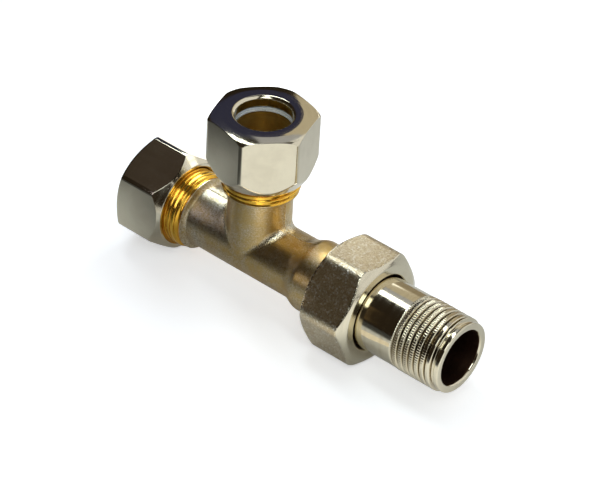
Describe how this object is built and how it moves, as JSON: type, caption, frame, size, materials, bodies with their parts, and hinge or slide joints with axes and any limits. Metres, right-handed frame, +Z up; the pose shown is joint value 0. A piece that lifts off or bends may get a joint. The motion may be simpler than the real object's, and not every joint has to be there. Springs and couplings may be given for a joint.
{
  "type": "lockshield valve",
  "caption": "Axial lockshield radiator valve: forged tee body, compression end for a pipe, blind hex cap over the regulating spindle, union nut and threaded tail.",
  "frame": {"origin": "centre of the ledge that the pipe stops against, inside the compression end", "axes": "+Z up along the branch, the way the pipe leaves; +X along the run towards the radiator tail"},
  "size_m": [0.1095, 0.0328, 0.0571],
  "materials": {
    "forged_plate": "forged brass, blasted and nickel plated",
    "polished_plate": "turned brass, nickel plated, polished",
    "bare_brass": "turned brass, bare",
    "zinc_steel": "steel, zinc plated",
    "seal_rubber": "moulded rubber",
    "fibre": "pressed fibre"
  },
  "bodies": {
    "valve": {"valve_body": "forged_plate", "bonnet": "bare_brass", "bonnet_gasket": "fibre"},
    "disc": {"valve_disc": "bare_brass", "disc_clip": "zinc_steel", "seat_washer": "seal_rubber", "washer_screw": "bare_brass"},
    "spindle": {"regulating_spindle": "bare_brass", "inner_o_ring": "seal_rubber", "outer_o_ring": "seal_rubber"},
    "cap_seal": {"cap_gasket": "fibre"},
    "cap": {"lockshield_cap": "polished_plate"},
    "ring": {"cutting_ring": "zinc_steel"},
    "nut": {"compression_nut": "polished_plate"},
    "tail": {"tail_piece": "polished_plate", "union_gasket": "fibre"},
    "union": {"union_nut": "polished_plate"}
  },
  "joints": [
    {"name": "disc_lift", "type": "slide", "parent": "valve", "child": "disc", "axis": [1, 0, 0], "range_m": [-0.0025, 0.002]},
    {"name": "spindle_turn", "type": "hinge", "parent": "disc", "child": "spindle", "pos_m": [0, 0, -0.022], "axis": [1, 0, 0], "range_deg": [-900, 720]},
    {"name": "cap_travel", "type": "slide", "parent": "valve", "child": "cap_seal", "axis": [-1, 0, 0], "range_m": [0, 0.006]},
    {"name": "cap_turn", "type": "hinge", "parent": "cap_seal", "child": "cap", "pos_m": [0, 0, -0.022], "axis": [-1, 0, 0], "range_deg": [0, 1440]},
    {"name": "ring_travel", "type": "slide", "parent": "valve", "child": "ring", "axis": [0, 0, 1], "range_m": [0, 0.006]},
    {"name": "nut_turn", "type": "hinge", "parent": "ring", "child": "nut", "pos_m": [0, 0, 0], "axis": [0, 0, 1], "range_deg": [0, 1440]},
    {"name": "tail_travel", "type": "slide", "parent": "valve", "child": "tail", "axis": [1, 0, 0], "range_m": [0, 0.00635]},
    {"name": "union_turn", "type": "hinge", "parent": "tail", "child": "union", "pos_m": [0, 0, -0.022], "axis": [1, 0, 0], "range_deg": [0, 1260]}
  ],
  "couplings": [
    {"joint": "spindle_turn", "follows": "disc_lift", "rad_per_m": 6283.2},
    {"joint": "cap_turn", "follows": "cap_travel", "rad_per_m": 4188.8},
    {"joint": "nut_turn", "follows": "ring_travel", "rad_per_m": 4188.8},
    {"joint": "union_turn", "follows": "tail_travel", "rad_per_m": 3463.2}
  ]
}
